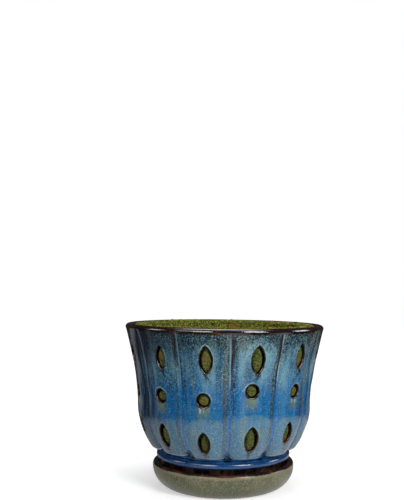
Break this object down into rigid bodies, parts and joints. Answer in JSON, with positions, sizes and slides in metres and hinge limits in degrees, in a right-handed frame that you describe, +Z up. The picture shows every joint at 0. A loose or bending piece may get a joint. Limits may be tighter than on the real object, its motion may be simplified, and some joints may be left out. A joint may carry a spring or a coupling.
{
  "type": "slotted orchid pot with saucer",
  "caption": "Round glazed orchid pot with lobed, slotted walls and a moss lining, standing in its own saucer and lifting out of it.",
  "frame": {"origin": "middle of the saucer's underside, on the surface that it stands on", "axes": "+Z up, along the saucer's axis; -Y towards the side that the picture shows; +X to the right in that view"},
  "size_m": [0.16, 0.16, 0.1291],
  "materials": {
    "blue_glaze": "gloss",
    "grey_green_glaze": "gloss",
    "moss": "matte"
  },
  "bodies": {
    "saucer": {"saucer": "grey_green_glaze"},
    "pot": {"pot": "blue_glaze"},
    "liner": {"moss_liner": "moss"}
  },
  "joints": [
    {"name": "pot_lift", "type": "slide", "parent": "saucer", "child": "pot", "axis": [0, 0, 1], "range_m": [0, 0.06]},
    {"name": "liner_lift", "type": "slide", "parent": "pot", "child": "liner", "axis": [0, 0, 1], "range_m": [0, 0.125]}
  ]
}
